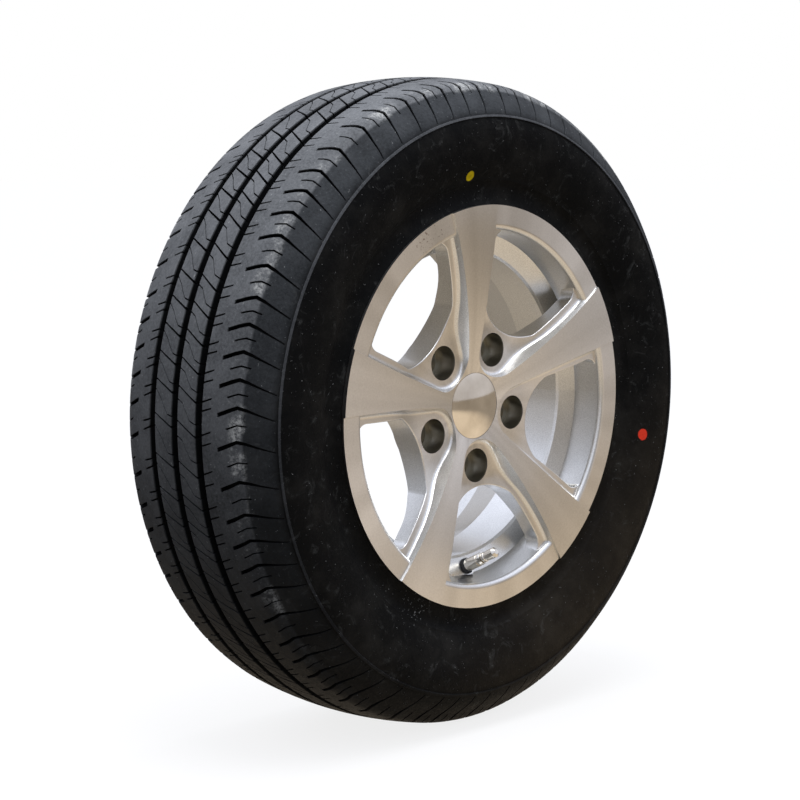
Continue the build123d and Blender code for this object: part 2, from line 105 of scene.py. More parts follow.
# tyre
tyreSpec = {
    "crownRadius": 296.0, "treadHalf": 60.5, "treadDrop": 5.0,
    "shoulderRadius": 17.5, "shoulderExit": 46.0,
    "halfWidth": 94.0, "sidewallRadius": 43.5, "lowerEnd": (199.1, 81.3),
    "crownSteps": 60, "shoulderSteps": 40, "sidewallSteps": 50,
    "inset": 30.0,  # from the hub face to the middle of the tyre
    "rimSide": [(195.5, 80.7), (192.0, 80.7), (188.5, 81.1), (185.2, 82.0)],
    "bead": [(182.3, 83.3), (171.2, 76.0), (164.9, 69.7), (163.4, 59.2)],
    "inside": [(172.4, 59.2), (205.0, 76.0), (243.7, 87.0), (263.0, 77.0), (277.0, 60.5), (281.0, 28.0)],
    "insideCrown": 281.0, "insideReach": 250,
    "ridgeAt": 105.1, "ridgeHeight": 1.5, "ridgeHalf": 1.25, "ridgeWall": 0.6,
    # the thin moulded line that shows a tyre sits true on its rim
    "rings": (163.0,), "ringHeight": 0.25, "ringHalf": 0.5, "ringFoot": 1.6,
    # rows of the mesh between the cuts and down the sidewall, in mm across from the middle of the tread
    "plainRows": (55.5, 65.5, 74.5, 82.5, 90.0, 98.0),
    "sideRows": (110.0, 114.0, 118.0, 122.0, 127.0, 132.0, 142.0, 146.5, 151.0, 155.0, 159.0, 166.5),
    "rimRows": 6, "probe": 0.4, "smoothAngle": 32,
}
treadSpec = {
    # short, medium and long blocks, mixed to keep the tyre quiet
    "pitchOrder": "MLMSSSMMSSSS" * 5 + "MSSSSMSSSSM",
    "pitchUnits": {"S": 9, "M": 11, "L": 13},
    "firstAngle": 114.0,
    "grooves": (-30.5, -1.2, 28.9), "grooveHalf": 3.9, "grooveDepth": 7.5, "grooveWall": 0.6,
    "cutWall": 0.3, "farSide": 30,
}
# Across the tread from the outer side: where a block's main cut and its second cut lie along the tread,
# in mm after the pitch starts (the second also gets a share of the pitch), with their half widths and depths.
cutKeys = ("across", "mainAt", "secondAt", "secondShare", "mainHalf", "mainDepth", "secondHalf", "secondDepth")
cutTable = np.array([
    (-116.0, 10.4, 9.0, 0.50, 0.40, 0.0, 0.40, 0.0),
    (-102.6, 10.7, 7.2, 0.50, 0.40, 0.0, 0.40, 0.0),
    (-101.8, 10.4, 7.0, 0.50, 0.50, 0.9, 0.40, 0.0),
    (-94.0, 7.6, 5.0, 0.51, 0.60, 1.6, 0.40, 0.0),
    (-86.0, 4.8, 3.0, 0.51, 0.80, 2.6, 0.40, 0.0),
    (-79.0, 2.2, 1.2, 0.51, 1.15, 4.0, 0.40, 0.0),
    (-78.3, 1.9, 1.0, 0.51, 1.20, 4.2, 0.45, 1.8),
    (-70.5, 0.0, 0.0, 0.51, 1.50, 6.0, 0.55, 3.2),
    (-61.2, 3.6, 3.4, 0.51, 1.65, 6.5, 0.55, 2.6),
    (-60.5, 3.9, 3.7, 0.51, 1.65, 6.5, 0.50, 0.0),
    (-51.8, 7.1, 3.6, 0.60, 1.60, 6.0, 0.40, 0.0),
    (-51.2, 7.2, 3.6, 0.60, 1.60, 0.0, 0.40, 0.0),
    (-44.6, 2.3, -0.1, 0.765, 0.45, 0.0, 0.45, 0.0),
    (-44.0, 2.5, 0.0, 0.765, 0.45, 2.6, 0.45, 2.6),
    (-34.8, 5.3, 3.2, 0.765, 0.60, 4.0, 0.60, 4.0),
    (-26.2, -0.8, -0.8, 0.63, 0.95, 5.5, 0.42, 4.0),
    (-20.0, -4.4, -4.4, 0.67, 0.80, 5.5, 0.42, 4.0),
    (-15.0, -7.4, -7.4, 0.50, 0.75, 5.5, 0.42, 4.0),
    (-11.0, -9.9, -9.9, 0.37, 0.70, 5.5, 0.42, 4.0),
    (-5.5, -13.2, -13.2, 0.38, 0.55, 5.5, 0.42, 4.0),
    (3.1, -6.6, -6.6, 0.68, 0.95, 5.5, 0.42, 4.0),
    (8.0, -9.0, -9.0, 0.72, 0.80, 5.5, 0.42, 4.0),
    (13.0, -11.5, -11.5, 0.58, 0.75, 5.5, 0.42, 4.0),
    (17.5, -13.5, -13.5, 0.42, 0.70, 5.5, 0.42, 4.0),
    (24.6, -17.2, -17.2, 0.30, 0.55, 5.5, 0.42, 4.0),
    (33.2, 12.7, 19.4, -1.0, 0.60, 4.0, 0.60, 4.0),
    (42.2, 15.0, 22.6, -1.0, 0.50, 2.6, 0.50, 2.6),
    (42.8, 15.1, 22.7, -1.0, 0.50, 0.0, 0.50, 0.0),
    (50.3, 14.4, 2.9, 0.0, 0.40, 0.0, 1.60, 0.0),
    (50.9, 14.4, 3.0, 0.0, 0.40, 0.0, 1.60, 6.0),
    (58.5, 14.4, 6.3, 0.0, 0.50, 0.0, 1.65, 6.5),
    (59.2, 14.6, 6.6, 0.0, 0.55, 2.6, 1.65, 6.5),
    (67.0, 17.9, 9.9, 0.0, 0.55, 3.2, 1.50, 6.0),
    (76.5, 15.9, 7.0, 0.0, 0.45, 1.8, 1.20, 4.2),
    (77.2, 15.7, 6.8, 0.0, 0.40, 0.0, 1.15, 4.0),
    (88.0, 13.4, 3.4, 0.0, 0.40, 0.0, 0.75, 2.2),
    (101.8, 10.3, -0.4, 0.0, 0.40, 0.0, 0.50, 0.9),
    (102.6, 9.9, -0.8, 0.0, 0.40, 0.0, 0.40, 0.0),
    (116.0, 10.0, -2.0, 0.0, 0.40, 0.0, 0.40, 0.0),
])


def arc(centre, radius, fromAngle, toAngle, count):
    # points of a circle in the section's plane: radius out from the axis, then distance from the middle
    turn = np.radians(np.linspace(fromAngle, toAngle, count))
    return np.stack([centre[0] + radius * np.cos(turn), centre[1] + radius * np.sin(turn)], -1)


def tyreSection(spec):
    # crown arc, shoulder arc, straight flank, sidewall arc and lower sidewall arc, each tangent to the last
    lean = 2 * math.atan2(spec["treadDrop"], spec["treadHalf"])
    crownCurve = spec["treadHalf"] / math.sin(lean)
    crown = arc((spec["crownRadius"] - crownCurve, 0), crownCurve, 0, math.degrees(lean), spec["crownSteps"])

    reach, leave = spec["shoulderRadius"], spec["shoulderExit"]
    shoulderCentre = crown[-1] - reach * np.array([math.cos(lean), math.sin(lean)])
    shoulder = arc(shoulderCentre, reach, math.degrees(lean), leave, spec["shoulderSteps"])

    out, sideCurve = math.radians(leave), spec["sidewallRadius"]
    flankTop = spec["halfWidth"] - sideCurve * (1 - math.sin(out))
    run = (flankTop - shoulder[-1][1]) / math.cos(out)
    flankEnd = shoulder[-1] + run * np.array([-math.sin(out), math.cos(out)])

    middle = flankEnd[0] - sideCurve * math.cos(out)
    upper = arc((middle, spec["halfWidth"] - sideCurve), sideCurve, leave, 90, spec["sidewallSteps"])
    rise, draw = middle - spec["lowerEnd"][0], spec["halfWidth"] - spec["lowerEnd"][1]
    lowerCurve = (rise ** 2 + draw ** 2) / (2 * draw)
    lowerExit = 90 + math.degrees(math.asin(rise / lowerCurve))
    lower = arc((middle, spec["halfWidth"] - lowerCurve), lowerCurve, 90, lowerExit, spec["sidewallSteps"])
    return np.concatenate([crown, shoulder[1:], flankEnd[None], upper[1:], lower[1:], spec["rimSide"]])


def buildTyre(spec, tread):
    # a closed ring: rows run across the section, columns run round it and bend to follow every cut of the tread
    outline = tyreSection(spec)
    along = np.concatenate([[0], np.cumsum(np.hypot(*np.diff(outline, axis=0).T))])

    # rows: every change in the cut table, both edges of each groove, and plain rows down the sidewalls
    half, wall = tread["grooveHalf"], tread["grooveWall"]
    walls = [side * (half + way * wall / 2) for side in (-1, 1) for way in (1, -1)]
    edges = [groove + edge for groove in tread["grooves"] for edge in walls]
    ridgeWalls = spec["ridgeWall"] * np.array([-0.5, 0.5, 0, -0.5, 0.5])
    ridge = spec["ridgeAt"] + np.array([-1, -1, 0, 1, 1]) * spec["ridgeHalf"] + ridgeWalls
    foot = spec["ringFoot"]
    thin = [ring + spec["ringHalf"] * k for ring in spec["rings"] for k in (-foot, 1 - foot, foot - 1, foot)]
    mirrored = np.concatenate([spec["plainRows"], ridge, spec["sideRows"], along[-spec["rimRows"]:], thin])
    across = np.unique(np.concatenate([cutTable[1:-1, 0], edges, tread["grooves"], mirrored, -mirrored]).round(3))

    # the surface without cuts, with its outward normal: derivative of the outline along its length
    size, probe = np.abs(across), spec["probe"]
    radius, offset = (np.interp(size, along, outline[:, k]) for k in (0, 1))
    ahead = [np.interp(size + probe, along, outline[:, k]) - np.interp(size - probe, along, outline[:, k])
             for k in (0, 1)]
    length = np.hypot(*ahead)
    normal = np.stack([ahead[1] / length, -ahead[0] / length * np.sign(across)], -1)
    normal[size < probe] = (1.0, 0.0)
    offset = offset * np.sign(across)

    # depth below that surface: grooves all round, cuts only in their own columns, less the raised ridge
    gap = np.abs(across[:, None] - np.array(tread["grooves"])).min(1)
    groove = tread["grooveDepth"] * np.clip((half + wall / 2 - gap) / wall, 0, 1)
    off = np.abs(size - spec["ridgeAt"])
    ridgeShare = np.clip((spec["ridgeHalf"] + spec["ridgeWall"] / 2 - off) / spec["ridgeWall"], 0, 1)
    ringOff = np.abs(size[:, None] - np.array(spec["rings"])).min(1) / spec["ringHalf"]
    raised = spec["ridgeHeight"] * ridgeShare + spec["ringHeight"] * np.clip(foot - ringOff, 0, 1)
    cuts = {key: np.interp(across, cutTable[:, 0], cutTable[:, k]) for k, key in enumerate(cutKeys)}
    mainCut = np.maximum(groove, cuts["mainDepth"])
    secondCut = np.maximum(groove, cuts["secondDepth"])
    depth = np.stack([groove, mainCut, mainCut, groove, groove,
                      groove, secondCut, secondCut, groove, groove], -1) - raised[:, None]

    # columns: ten to a pitch, four at each cut and one between, in mm along the tread
    units = np.array([tread["pitchUnits"][p] for p in tread["pitchOrder"]], float)
    pitch = units / units.sum() * 2 * math.pi * spec["crownRadius"]
    start = np.concatenate([[0], np.cumsum(pitch)[:-1]])
    shortPitch = pitch.min()
    far = across[:, None] > tread["farSide"]
    main = np.broadcast_to(cuts["mainAt"][:, None], (len(across), len(pitch))) - np.where(far, shortPitch, 0.0)
    second = cuts["secondAt"][:, None] + cuts["secondShare"][:, None] * np.where(far, shortPitch, pitch)
    lip, mainHalf, secondHalf = tread["cutWall"], cuts["mainHalf"][:, None], cuts["secondHalf"][:, None]
    places = np.stack([
        main - mainHalf - lip, main - mainHalf, main + mainHalf, main + mainHalf + lip,
        (main + second) / 2,
        second - secondHalf - lip, second - secondHalf, second + secondHalf, second + secondHalf + lip,
        (second + main + pitch) / 2], -1)
    angle = (places + start[:, None]) / spec["crownRadius"] + math.radians(tread["firstAngle"])
    columns = angle.shape[1] * angle.shape[2]
    angle = angle.reshape(len(across), columns)
    sink = np.tile(depth, (1, len(pitch)))

    # outer surface, then the bead and the inside, which close the ring
    outerR = radius[:, None] - sink * normal[:, :1]
    outerS = offset[:, None] - sink * normal[:, 1:]
    hidden = np.array(spec["bead"] + spec["inside"])
    back = np.concatenate([hidden, [(spec["insideCrown"], 0.0)], hidden[::-1] * (1, -1)])
    ringR = np.concatenate([outerR, np.broadcast_to(back[:, :1], (len(back), columns))])
    ringS = np.concatenate([outerS, np.broadcast_to(back[:, 1:], (len(back), columns))])
    blend = np.linspace(0, 1, len(back))[:, None]
    ringA = np.concatenate([angle, angle[-1] * (1 - blend) + angle[0] * blend])
    points = np.stack([ringR * np.cos(ringA), spec["inset"] + ringS, ringR * np.sin(ringA)], -1) * mm
    faces = ringFaces(len(ringA), columns).tolist()
    tyre = meshPiece("tyreRubber", points.reshape(-1, 3), faces, spec["smoothAngle"])

    # what the rubber's finish follows: how far across the section, in 100 mm, and how deep in a cut
    within = np.linspace(along[-1], spec["insideReach"], len(back) // 2)
    place = np.concatenate([across, within, [spec["insideReach"]], -within[::-1]])
    deep = np.concatenate([np.clip(sink, 0, None), np.zeros((len(back), columns))]) / tread["grooveDepth"]
    for name, values in (("across", np.repeat(place, columns) / 100), ("cut", deep.ravel())):
        layer = tyre.data.attributes.new(name, "FLOAT", "POINT")
        layer.data.foreach_set("value", values.astype(np.float32))
    print("tyre:", len(ringA), "rows,", columns, "columns,", 2 * len(ringA) * columns, "triangles")
    return tyre


tyreLook = {
    "colours": {
        "rubber": "#08090A", "dust": "#45433F", "smear": "#5C5D5B", "flank": "#434649", "tread": "#76787A",
        "ridge": "#5C5E61", "pale": "#B0B1AE", "deep": "#0D0E0F", "brownSheen": "#423A2E",
        "yellow": "#EBCB1C", "ochre": "#8E7408", "red": "#E8402A",
    },
    # patterns, in spots per metre
    "clouds": 24.0,  # dust in clouds of about 40 mm
    "smears": 55.0,  # wiped smears of about 18 mm
    "specks": 420.0,  # grit of about 2.4 mm; the real grit is finer, and is drawn this coarse so that it shows
    # where each finish starts and is full, in 100 mm across the section
    "flankEdge": (1.09, 0.96), "treadEdge": (0.765, 0.735), "sideEdge": (0.98, 1.16),
    "ridgeAt": 1.051, "ridgeHalf": 0.012, "scuffAt": 0.70, "scuffReach": (0.09, 0.02),
    # the same by height, for the painted top light and the scuffs, and by distance low on the right, for the painted
    # brown sheen, in metres
    "paintedTopLight": (-0.32, 0.30), "scuffHeight": (-0.24, -0.08),
    "sheenWay": (0.62, 0.0, -0.78), "sheenReach": (0.12, 0.27),
    # paint dots, and painted glints of mounting paste, in mm
    "yellowAt": (-27.0, -54.0, 208.7), "redAt": (218.5, -60.4, -45.9),
    "dotRadius": 5.6, "dotRagged": 1.6, "dotEdge": (1.2, 0.4), "dotThin": (4.6, 2.2),
    "pasteGlintAt": (-84.0, -53.0, -163.0), "pasteGlintReach": (40.0, 10.0),
    "rough": (0.50, 0.78), "grit": 0.6,
}


def tyreFinish(look):
    # carbon-black rubber from the mould: near black on the sidewall, scuffed grey on the tread, lighter towards the
    # top as painted light, and black down in the cuts as painted shade
    mat = newMaterial("mouldedRubber")
    tone = {key: linear(value) for key, value in look["colours"].items()}
    place = addNode(mat, "ShaderNodeTexCoord").outputs["Object"]
    across = addNode(mat, "ShaderNodeAttribute", attribute_name="across").outputs["Fac"]
    cut = addNode(mat, "ShaderNodeAttribute", attribute_name="cut").outputs["Fac"]
    size = addNode(mat, "ShaderNodeMath", (across,), operation="ABSOLUTE").outputs[0]
    cloud = addNode(mat, "ShaderNodeTexNoise", {
        "Vector": place, "Scale": look["clouds"], "Detail": 5.0, "Roughness": 0.65}).outputs[0]
    speck = addNode(mat, "ShaderNodeTexNoise", {
        "Vector": place, "Scale": look["specks"], "Detail": 3.0, "Roughness": 0.7}).outputs[0]

    # dust on the flank and the tread, thicker in clouds, and painted light: lighter towards the top, where the lamps
    # overhead fall
    height = addNode(mat, "ShaderNodeSeparateXYZ", (place,)).outputs["Z"]
    paintedTopLight = addNode(mat, "ShaderNodeMapRange", (height, *look["paintedTopLight"]), **smooth).outputs[0]
    onFlank = addNode(mat, "ShaderNodeMapRange", (size, *look["flankEdge"]), **smooth).outputs[0]
    onTread = addNode(mat, "ShaderNodeMapRange", (size, *look["treadEdge"]), **smooth).outputs[0]
    mottle = addNode(mat, "ShaderNodeMath", (cloud, speck), operation="ADD").outputs[0]
    patch = addNode(mat, "ShaderNodeMapRange", (mottle, 0.70, 1.30, 0.35, 1.0)).outputs[0]
    dustAndTopLight = addNode(mat, "ShaderNodeMath", (paintedTopLight, patch), operation="MULTIPLY").outputs[0]
    treadDustAndLight = addNode(mat, "ShaderNodeMath", (onTread, dustAndTopLight), operation="MULTIPLY").outputs[0]
    flankDustAndLight = addNode(mat, "ShaderNodeMath", (onFlank, dustAndTopLight), operation="MULTIPLY").outputs[0]
    film = addNode(mat, "ShaderNodeMapRange", (cloud, 0.42, 0.78, 0.0, 0.22), **smooth).outputs[0]
    smear = addNode(mat, "ShaderNodeTexNoise", {
        "Vector": place, "Scale": look["smears"], "Detail": 6.0, "Roughness": 0.72, "Distortion": 1.4}).outputs[0]
    smearShare = addNode(mat, "ShaderNodeMapRange", (smear, 0.55, 0.74, 0.0, 0.34), **smooth).outputs[0]
    # the raised ridge is drawn lighter: dust, and a painted highlight along it
    onRidge = addNode(mat, "ShaderNodeMath", (
        size, look["ridgeAt"], look["ridgeHalf"]), operation="COMPARE").outputs[0]
    ridgeDustAndHighlight = addNode(mat, "ShaderNodeMath", (onRidge, dustAndTopLight), operation="MULTIPLY").outputs[0]

    # pale scuffs where the shoulder blocks bend over, and pale crumbs of dirt all over
    fromEdge = addNode(mat, "ShaderNodeMath", (size, look["scuffAt"]), operation="SUBTRACT").outputs[0]
    offEdge = addNode(mat, "ShaderNodeMath", (fromEdge,), operation="ABSOLUTE").outputs[0]
    nearEdge = addNode(mat, "ShaderNodeMapRange", (offEdge, *look["scuffReach"]), **smooth).outputs[0]
    scuff = addNode(mat, "ShaderNodeMapRange", (cloud, 0.50, 0.63), **smooth).outputs[0]
    gritty = addNode(mat, "ShaderNodeMapRange", (speck, 0.36, 0.62)).outputs[0]
    scuffHere = addNode(mat, "ShaderNodeMath", (nearEdge, scuff), operation="MULTIPLY").outputs[0]
    aboveFloor = addNode(mat, "ShaderNodeMapRange", (
        height, *look["scuffHeight"], 0.0, gritty), **smooth).outputs[0]
    scuffed = addNode(mat, "ShaderNodeMath", (scuffHere, aboveFloor), operation="MULTIPLY").outputs[0]
    crumb = addNode(mat, "ShaderNodeMapRange", (speck, 0.66, 0.80, 0.0, 0.35), **smooth).outputs[0]

    # pale specks of mounting paste by the rim, low on the left, painted bright as glints
    pasteGlintAt = tuple(v * mm for v in look["pasteGlintAt"])
    pasteGlintAway = addNode(mat, "ShaderNodeVectorMath", (place, pasteGlintAt), operation="DISTANCE").outputs["Value"]
    pasteGlintReach = [v * mm for v in look["pasteGlintReach"]]
    nearPasteGlint = addNode(mat, "ShaderNodeMapRange", (pasteGlintAway, *pasteGlintReach, 0.0, 0.07), **smooth).outputs[0]
    pasteGlintLevel = addNode(mat, "ShaderNodeMath", (speck, nearPasteGlint), operation="ADD").outputs[0]
    pasteGlints = addNode(mat, "ShaderNodeMapRange", (pasteGlintLevel, 0.69, 0.74, 0.0, 0.5)).outputs[0]

    # a painted brown sheen, in clouds, low on the right of the sidewall
    low = addNode(mat, "ShaderNodeVectorMath", (place, look["sheenWay"]), operation="DOT_PRODUCT").outputs["Value"]
    sheenShare = addNode(mat, "ShaderNodeMapRange", (low, *look["sheenReach"], 0.0, 0.8), **smooth).outputs[0]
    onSide = addNode(mat, "ShaderNodeMapRange", (size, *look["sideEdge"]), **smooth).outputs[0]
    sideSheen = addNode(mat, "ShaderNodeMath", (sheenShare, onSide), operation="MULTIPLY").outputs[0]
    sheenCloud = addNode(mat, "ShaderNodeMath", (sideSheen, cloud), operation="MULTIPLY").outputs[0]

    # each layer lies over the ones before it
    colour = tone["rubber"]
    layers = ((film, "dust"), (smearShare, "smear"), (flankDustAndLight, "flank"), (treadDustAndLight, "tread"), (ridgeDustAndHighlight, "ridge"),
              (scuffed, "pale"), (crumb, "pale"), (pasteGlints, "pale"), (sheenCloud, "brownSheen"))
    for share, layer in layers:
        colour = addNode(mat, "ShaderNodeMix", {0: share, 6: colour, 7: tone[layer]}, **asColour).outputs[2]

    # the two balance marks, dabbed on with paint: a yellow ring filled in thin, and a red dot
    dotEdge = [(look["dotRadius"] + v) * mm for v in look["dotEdge"]]
    dotThin = [v * mm for v in look["dotThin"]]
    for spot, edge, middle in (("yellowAt", "yellow", "ochre"), ("redAt", "red", "red")):
        spotPlace = tuple(v * mm for v in look[spot])
        away = addNode(mat, "ShaderNodeVectorMath", (place, spotPlace), operation="DISTANCE").outputs["Value"]
        ragged = addNode(mat, "ShaderNodeMath", (
            speck, look["dotRagged"] * mm, away), operation="MULTIPLY_ADD").outputs[0]
        inside = addNode(mat, "ShaderNodeMapRange", (ragged, *dotEdge)).outputs[0]
        thin = addNode(mat, "ShaderNodeMapRange", (ragged, *dotThin, 0.0, 0.45)).outputs[0]
        paint = addNode(mat, "ShaderNodeMix", {0: thin, 6: tone[edge], 7: tone[middle]}, **asColour).outputs[2]
        colour = addNode(mat, "ShaderNodeMix", {0: inside, 6: colour, 7: paint}, **asColour).outputs[2]

    # painted shade: down in the cuts the colour goes near black
    inCut = addNode(mat, "ShaderNodeMapRange", (cut, 0.03, 0.22)).outputs[0]
    colour = addNode(mat, "ShaderNodeMix", {0: inCut, 6: colour, 7: tone["deep"]}, **asColour).outputs[2]
    rough = addNode(mat, "ShaderNodeMapRange", (speck, 0.3, 0.7, *look["rough"])).outputs[0]
    bump = addNode(mat, "ShaderNodeBump", {
        "Strength": 0.5, "Distance": look["grit"] * mm, "Height": speck}).outputs[0]
    shader = addNode(mat, "ShaderNodeBsdfPrincipled", {
        "Base Color": colour, "Roughness": rough, "IOR": 1.52, "Specular IOR Level": 0.06, "Normal": bump})
    addNode(mat, "ShaderNodeOutputMaterial", {"Surface": shader.outputs[0]})
    return mat


tyre = buildTyre(tyreSpec, treadSpec)
tyre.data.materials.append(tyreFinish(tyreLook))
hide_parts("tyre")
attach(tyre, "rolling_wheel")


# wheel casting
wheelLook = {
    "colours": {
        "machined": "#EDE8E2", "machinedDark": "#B9B3AA", "silver": "#E0E0DE", "silverDark": "#C4C4C2",
        "pocket": "#9F9C92", "rust": "#6B4630",
    },
    # patterns, in spots per metre; real turning lines and flakes are finer, and are drawn coarse enough to show
    "lines": 3000.0, "flakes": 1500.0, "grain": 700.0, "clouds": 30.0, "chips": 380.0,
    "paintedFans": 3.2,  # painted highlight: the lines are drawn lighter in a few broad fans round the hub, where they would catch the light
    "turnedFacing": (0.88, 0.955), "turnedFront": -30.0, "streak": 0.85,
    "turnedRough": (0.30, 0.42), "silverRough": (0.27, 0.36),
    "pocketReach": 72.5, "pocketFront": -34.6, "pocketFade": 1.5,
    "rustAt": (-77.0, -56.0, 153.0), "rustReach": 55.0,
}


def wheelFinish(look):
    # cast aluminium: turned bright on the faces that look outwards,
    # silver flake under clear lacquer everywhere else
    mat = newMaterial("turnedAndLacqueredAlloy")
    tone = {key: linear(value) for key, value in look["colours"].items()}
    texture = addNode(mat, "ShaderNodeTexCoord")
    place, normal = texture.outputs["Object"], texture.outputs["Normal"]
    depth = addNode(mat, "ShaderNodeSeparateXYZ", (place,)).outputs["Y"]
    flatPlace = addNode(mat, "ShaderNodeVectorMath", (place, (1.0, 0.0, 1.0)), operation="MULTIPLY").outputs[0]
    radius = addNode(mat, "ShaderNodeVectorMath", (flatPlace,), operation="LENGTH").outputs["Value"]
    facing = addNode(mat, "ShaderNodeVectorMath", (
        normal, (0.0, -1.0, 0.0)), operation="DOT_PRODUCT").outputs["Value"]
    outward = addNode(mat, "ShaderNodeMapRange", (facing, *look["turnedFacing"]), **smooth).outputs[0]
    front = addNode(mat, "ShaderNodeMath", (depth, look["turnedFront"] * mm), operation="LESS_THAN").outputs[0]
    turned = addNode(mat, "ShaderNodeMath", (outward, front), operation="MULTIPLY").outputs[0]

    # fine turning lines, and broad fans of painted highlight, on the turned faces, and flakes in the silver
    lines = addNode(mat, "ShaderNodeTexNoise", {
        "W": radius, "Scale": look["lines"], "Detail": 2.0}, noise_dimensions="1D").outputs[0]
    flakes, cloud, grain = (
        addNode(mat, "ShaderNodeTexNoise", {"Vector": place, "Scale": look[key], "Detail": detail}).outputs[0]
        for key, detail in (("flakes", 1.0), ("clouds", 4.0), ("grain", 2.0)))
    brushed = addNode(mat, "ShaderNodeMath", (lines, grain), operation="ADD").outputs[0]
    spread = addNode(mat, "ShaderNodeVectorMath", (flatPlace,), operation="NORMALIZE").outputs[0]
    paintedFans = addNode(mat, "ShaderNodeTexNoise", {"Vector": spread, "Scale": look["paintedFans"], "Detail": 2.0}).outputs[0]
    paintedFanShare = addNode(mat, "ShaderNodeMapRange", (paintedFans, 0.35, 0.65, 0.12, 0.54), **smooth).outputs[0]
    fineShare = addNode(mat, "ShaderNodeMapRange", (brushed, 0.6, 1.4, 0.0, 0.38)).outputs[0]
    linesAndFansShare = addNode(mat, "ShaderNodeMath", (paintedFanShare, fineShare), operation="ADD").outputs[0]
    flakeShare = addNode(mat, "ShaderNodeMapRange", (flakes, 0.35, 0.65)).outputs[0]
    machined = addNode(mat, "ShaderNodeMix", {
        0: linesAndFansShare, 6: tone["machinedDark"], 7: tone["machined"]}, **asColour).outputs[2]
    silver = addNode(mat, "ShaderNodeMix", {
        0: flakeShare, 6: tone["silverDark"], 7: tone["silver"]}, **asColour).outputs[2]
    metal = addNode(mat, "ShaderNodeMix", {0: turned, 6: silver, 7: machined}, **asColour).outputs[2]

    # bolt pockets are bare and dull inside
    pocketFront = look["pocketFront"] * mm
    nearHub = addNode(mat, "ShaderNodeMath", (radius, look["pocketReach"] * mm), operation="LESS_THAN").outputs[0]
    sunk = addNode(mat, "ShaderNodeMapRange", (
        depth, pocketFront, pocketFront + look["pocketFade"] * mm)).outputs[0]
    pocket = addNode(mat, "ShaderNodeMath", (nearHub, sunk), operation="MULTIPLY").outputs[0]
    dulled = addNode(mat, "ShaderNodeMix", {0: pocket, 6: metal, 7: tone["pocket"]}, **asColour).outputs[2]

    # brown specks on the lip, where stones have chipped the lacquer
    rustPlace = tuple(v * mm for v in look["rustAt"])
    away = addNode(mat, "ShaderNodeVectorMath", (place, rustPlace), operation="DISTANCE").outputs["Value"]
    nearRust = addNode(mat, "ShaderNodeMapRange", (away, look["rustReach"] * mm, 0.0, 0.0, 0.22)).outputs[0]
    chips = addNode(mat, "ShaderNodeTexNoise", {
        "Vector": place, "Scale": look["chips"], "Detail": 3.0, "Roughness": 0.6}).outputs[0]
    chipLevel = addNode(mat, "ShaderNodeMath", (chips, nearRust), operation="ADD").outputs[0]
    chipped = addNode(mat, "ShaderNodeMapRange", (chipLevel, 0.80, 0.86, 0.0, 0.7)).outputs[0]
    colour = addNode(mat, "ShaderNodeMix", {0: chipped, 6: dulled, 7: tone["rust"]}, **asColour).outputs[2]

    turnedRough = addNode(mat, "ShaderNodeMapRange", (lines, 0.3, 0.7, *look["turnedRough"])).outputs[0]
    silverRough = addNode(mat, "ShaderNodeMapRange", (cloud, 0.3, 0.7, *look["silverRough"])).outputs[0]
    rough = addNode(mat, "ShaderNodeMix", {0: turned, 2: silverRough, 3: turnedRough}).outputs[0]
    streak = addNode(mat, "ShaderNodeMath", (turned, look["streak"]), operation="MULTIPLY").outputs[0]
    roundHub = addNode(mat, "ShaderNodeTangent", direction_type="RADIAL", axis="Y").outputs[0]
    lacquer = addNode(mat, "ShaderNodeMapRange", (pocket, 0.0, 1.0, 0.8, 0.0)).outputs[0]
    shader = addNode(mat, "ShaderNodeBsdfPrincipled", {
        "Base Color": colour, "Metallic": 1.0, "Roughness": rough, "Anisotropic": streak, "Tangent": roundHub,
        "Coat Weight": lacquer, "Coat Roughness": 0.08, "Coat IOR": 1.5})
    addNode(mat, "ShaderNodeOutputMaterial", {"Surface": shader.outputs[0]})
    return mat


# small pieces: cloud and grain are in spots per metre
# the grain is drawn coarser than the real one so that it shows
chrome = {
    "dark": "#CFCAC0", "light": "#E6E2DA", "rough": 0.10, "metallic": 1.0,
    "cloud": 90.0, "grain": 1800.0, "bump": 0.03}
capSilver = {
    "dark": "#D4CCC0", "light": "#EDE6DB", "rough": 0.07, "metallic": 1.0,
    "cloud": 45.0, "grain": 1400.0, "bump": 0.05}
brass = {
    "dark": "#9C7A3C", "light": "#C9A763", "rough": 0.28, "metallic": 1.0,
    "cloud": 300.0, "grain": 3000.0, "bump": 0.08}
steel = {
    "dark": "#77787A", "light": "#A4A5A6", "rough": 0.35, "metallic": 1.0,
    "cloud": 200.0, "grain": 2500.0, "bump": 0.08}
valveRubber = {
    "dark": "#0E0E10", "light": "#1E1E20", "rough": 0.60, "metallic": 0.0,
    "cloud": 150.0, "grain": 1600.0, "bump": 0.25}
sealRubber = {
    "dark": "#151515", "light": "#262626", "rough": 0.65, "metallic": 0.0,
    "cloud": 400.0, "grain": 2500.0, "bump": 0.25}


